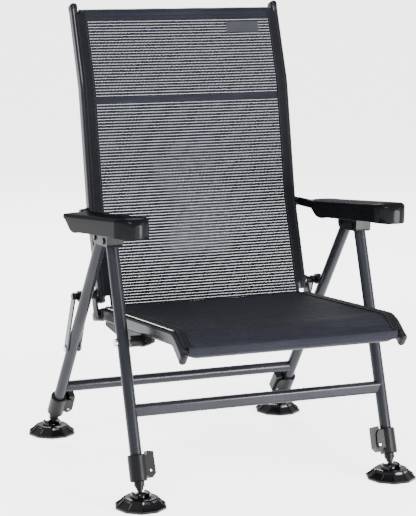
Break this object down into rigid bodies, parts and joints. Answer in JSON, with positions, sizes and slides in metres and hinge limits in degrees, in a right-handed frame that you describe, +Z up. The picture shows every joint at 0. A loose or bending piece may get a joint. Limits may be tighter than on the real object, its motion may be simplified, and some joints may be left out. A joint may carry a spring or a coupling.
{
  "type": "reclining folding outdoor chair",
  "caption": "Reclining folding outdoor chair with woven seat and high back, hollow armrests on notched racks, telescopic legs and swivelling disc feet.",
  "frame": {"origin": "on the ground under the middle of the bounding box", "axes": "+Z up, -Y the front of the chair, +X to the right when looking at the chair's front along +Y"},
  "size_m": [0.685, 0.7659, 0.9915],
  "materials": {
    "woven_fabric": "woven mesh",
    "foot_plastic": "satin to gloss",
    "steel": "plain",
    "link_metal": "satin",
    "armrest_plastic": "satin",
    "black_plastic": "satin",
    "frame_paint": "satin powder coat"
  },
  "bodies": {
    "front_frame": {"front_leg_left": "frame_paint", "front_leg_right": "frame_paint", "front_crossbar": "frame_paint", "leg_head_left": "black_plastic", "leg_head_right": "black_plastic", "leg_pins": "black_plastic", "rack_pins": "steel", "seat_pivot_bolts": "steel", "front_clamp_left": "black_plastic", "front_clamp_right": "black_plastic", "front_lever_pins": "steel"},
    "rear_frame": {"rear_leg_left": "frame_paint", "rear_leg_right": "frame_paint", "rear_crossbar": "frame_paint", "rear_clamp_left": "black_plastic", "rear_clamp_right": "black_plastic", "rear_lever_pins": "steel", "link_rivets": "steel"},
    "rear_links": {"rear_link_bars": "link_metal", "link_knuckles": "black_plastic"},
    "seat": {"seat_rail_left": "frame_paint", "seat_rail_right": "frame_paint", "seat_front_bar": "frame_paint", "seat_front_caps": "black_plastic", "rear_bracket_left": "black_plastic", "rear_bracket_right": "black_plastic", "seat_bracket_left": "black_plastic", "seat_bracket_right": "black_plastic", "seat_fabric": "woven_fabric"},
    "back_hinge": {"back_hinge_plates": "link_metal"},
    "back": {"back_tube_left": "frame_paint", "back_tube_right": "frame_paint", "back_top_bar": "frame_paint", "back_top_caps": "black_plastic", "back_fabric": "woven_fabric"},
    "armrest_pivot_left": {"armrest_pivot_left": "black_plastic"},
    "armrest_knuckle_left": {"armrest_knuckle_left": "black_plastic"},
    "armrest_left": {"armrest_left": "armrest_plastic", "armrest_rack_left": "black_plastic"},
    "armrest_pivot_right": {"armrest_pivot_right": "black_plastic"},
    "armrest_knuckle_right": {"armrest_knuckle_right": "black_plastic"},
    "armrest_right": {"armrest_right": "armrest_plastic", "armrest_rack_right": "black_plastic"},
    "front_inner_leg_left": {"front_inner_leg_left": "black_plastic"},
    "front_lever_left": {"front_lever_left": "black_plastic"},
    "front_cup_left": {"front_cup_left": "foot_plastic"},
    "front_foot_left": {"front_foot_left": "foot_plastic"},
    "front_inner_leg_right": {"front_inner_leg_right": "black_plastic"},
    "front_lever_right": {"front_lever_right": "black_plastic"},
    "front_cup_right": {"front_cup_right": "foot_plastic"},
    "front_foot_right": {"front_foot_right": "foot_plastic"},
    "rear_inner_leg_left": {"rear_inner_leg_left": "black_plastic"},
    "rear_lever_left": {"rear_lever_left": "black_plastic"},
    "rear_cup_left": {"rear_cup_left": "foot_plastic"},
    "rear_foot_left": {"rear_foot_left": "foot_plastic"},
    "rear_inner_leg_right": {"rear_inner_leg_right": "black_plastic"},
    "rear_lever_right": {"rear_lever_right": "black_plastic"},
    "rear_cup_right": {"rear_cup_right": "foot_plastic"},
    "rear_foot_right": {"rear_foot_right": "foot_plastic"}
  },
  "joints": [
    {"name": "seat_fold", "type": "hinge", "parent": "front_frame", "child": "seat", "pos_m": [0, -0.14505, 0.321], "axis": [-1, 0, 0], "range_deg": [0, 57.13]},
    {"name": "rear_leg_fold", "type": "hinge", "parent": "front_frame", "child": "rear_frame", "pos_m": [0, -0.02145, 0.522], "axis": [-1, 0, 0], "range_deg": [0, 46.05]},
    {"name": "link_fold", "type": "hinge", "parent": "rear_frame", "child": "rear_links", "pos_m": [0, 0.17885, 0.237], "axis": [-1, 0, 0], "range_deg": [0, 93.23]},
    {"name": "back_hinge_fold", "type": "hinge", "parent": "seat", "child": "back_hinge", "pos_m": [0, 0.12395, 0.365], "axis": [1, 0, 0], "range_deg": [0, 72.08]},
    {"name": "back_recline", "type": "hinge", "parent": "back_hinge", "child": "back", "pos_m": [0, 0.12395, 0.365], "axis": [-1, 0, 0], "range_deg": [0, 37]},
    {"name": "armrest_tilt_left", "type": "hinge", "parent": "back", "child": "armrest_pivot_left", "pos_m": [-0.25, 0.18095, 0.539], "axis": [1, 0, 0], "range_deg": [0, 26.54]},
    {"name": "armrest_fold_left", "type": "hinge", "parent": "armrest_pivot_left", "child": "armrest_knuckle_left", "pos_m": [-0.25, 0.18095, 0.539], "axis": [-1, 0, 0], "range_deg": [0, 84.86]},
    {"name": "armrest_lift_left", "type": "hinge", "parent": "armrest_knuckle_left", "child": "armrest_left", "pos_m": [-0.25, 0.18095, 0.539], "axis": [-1, 0, 0], "range_deg": [0, 10]},
    {"name": "armrest_tilt_right", "type": "hinge", "parent": "back", "child": "armrest_pivot_right", "pos_m": [0.25, 0.18095, 0.539], "axis": [1, 0, 0], "range_deg": [0, 26.54]},
    {"name": "armrest_fold_right", "type": "hinge", "parent": "armrest_pivot_right", "child": "armrest_knuckle_right", "pos_m": [0.25, 0.18095, 0.539], "axis": [-1, 0, 0], "range_deg": [0, 84.86]},
    {"name": "armrest_lift_right", "type": "hinge", "parent": "armrest_knuckle_right", "child": "armrest_right", "pos_m": [0.25, 0.18095, 0.539], "axis": [-1, 0, 0], "range_deg": [0, 10]},
    {"name": "front_leg_slide_left", "type": "slide", "parent": "front_frame", "child": "front_inner_leg_left", "axis": [0, -0.3379, -0.9412], "range_m": [0, 0.12]},
    {"name": "front_lever_squeeze_left", "type": "hinge", "parent": "front_frame", "child": "front_lever_left", "pos_m": [-0.2635, -0.23813, 0.06947], "axis": [0, -0.9412, 0.3379], "range_deg": [0, 8], "stiffness_Nm_per_rad": 1.2},
    {"name": "front_foot_pitch_left", "type": "hinge", "parent": "front_inner_leg_left", "child": "front_cup_left", "pos_m": [-0.2875, -0.25553, 0.021], "axis": [1, 0, 0], "range_deg": [-12, 12]},
    {"name": "front_foot_roll_left", "type": "hinge", "parent": "front_cup_left", "child": "front_foot_left", "pos_m": [-0.2875, -0.25553, 0.021], "axis": [0, 1, 0], "range_deg": [-12, 12]},
    {"name": "front_leg_slide_right", "type": "slide", "parent": "front_frame", "child": "front_inner_leg_right", "axis": [0, -0.3379, -0.9412], "range_m": [0, 0.12]},
    {"name": "front_lever_squeeze_right", "type": "hinge", "parent": "front_frame", "child": "front_lever_right", "pos_m": [0.2635, -0.23813, 0.06947], "axis": [0, 0.9412, -0.3379], "range_deg": [0, 8], "stiffness_Nm_per_rad": 1.2},
    {"name": "front_foot_pitch_right", "type": "hinge", "parent": "front_inner_leg_right", "child": "front_cup_right", "pos_m": [0.2875, -0.25553, 0.021], "axis": [1, 0, 0], "range_deg": [-12, 12]},
    {"name": "front_foot_roll_right", "type": "hinge", "parent": "front_cup_right", "child": "front_foot_right", "pos_m": [0.2875, -0.25553, 0.021], "axis": [0, 1, 0], "range_deg": [-12, 12]},
    {"name": "rear_leg_slide_left", "type": "slide", "parent": "rear_frame", "child": "rear_inner_leg_left", "axis": [0, 0.575, -0.8181], "range_m": [0, 0.12]},
    {"name": "rear_lever_squeeze_left", "type": "hinge", "parent": "rear_frame", "child": "rear_lever_left", "pos_m": [-0.2635, 0.29328, 0.07418], "axis": [0, -0.8181, -0.575], "range_deg": [0, 8], "stiffness_Nm_per_rad": 1.2},
    {"name": "rear_foot_pitch_left", "type": "hinge", "parent": "rear_inner_leg_left", "child": "rear_cup_left", "pos_m": [-0.2875, 0.33066, 0.021], "axis": [1, 0, 0], "range_deg": [-12, 12]},
    {"name": "rear_foot_roll_left", "type": "hinge", "parent": "rear_cup_left", "child": "rear_foot_left", "pos_m": [-0.2875, 0.33066, 0.021], "axis": [0, 1, 0], "range_deg": [-12, 12]},
    {"name": "rear_leg_slide_right", "type": "slide", "parent": "rear_frame", "child": "rear_inner_leg_right", "axis": [0, 0.575, -0.8181], "range_m": [0, 0.12]},
    {"name": "rear_lever_squeeze_right", "type": "hinge", "parent": "rear_frame", "child": "rear_lever_right", "pos_m": [0.2635, 0.29328, 0.07418], "axis": [0, 0.8181, 0.575], "range_deg": [0, 8], "stiffness_Nm_per_rad": 1.2},
    {"name": "rear_foot_pitch_right", "type": "hinge", "parent": "rear_inner_leg_right", "child": "rear_cup_right", "pos_m": [0.2875, 0.33066, 0.021], "axis": [1, 0, 0], "range_deg": [-12, 12]},
    {"name": "rear_foot_roll_right", "type": "hinge", "parent": "rear_cup_right", "child": "rear_foot_right", "pos_m": [0.2875, 0.33066, 0.021], "axis": [0, 1, 0], "range_deg": [-12, 12]}
  ],
  "couplings": [
    {"joint": "rear_leg_fold", "follows": "seat_fold", "ratio": 0.80511},
    {"joint": "link_fold", "follows": "seat_fold", "ratio": 1.6311},
    {"joint": "back_hinge_fold", "follows": "seat_fold", "ratio": 1.2609},
    {"joint": "armrest_tilt_left", "follows": "back_recline", "ratio": 0.716},
    {"joint": "armrest_fold_left", "follows": "seat_fold", "ratio": 1.4844},
    {"joint": "armrest_tilt_right", "follows": "back_recline", "ratio": 0.716},
    {"joint": "armrest_fold_right", "follows": "seat_fold", "ratio": 1.4844}
  ]
}
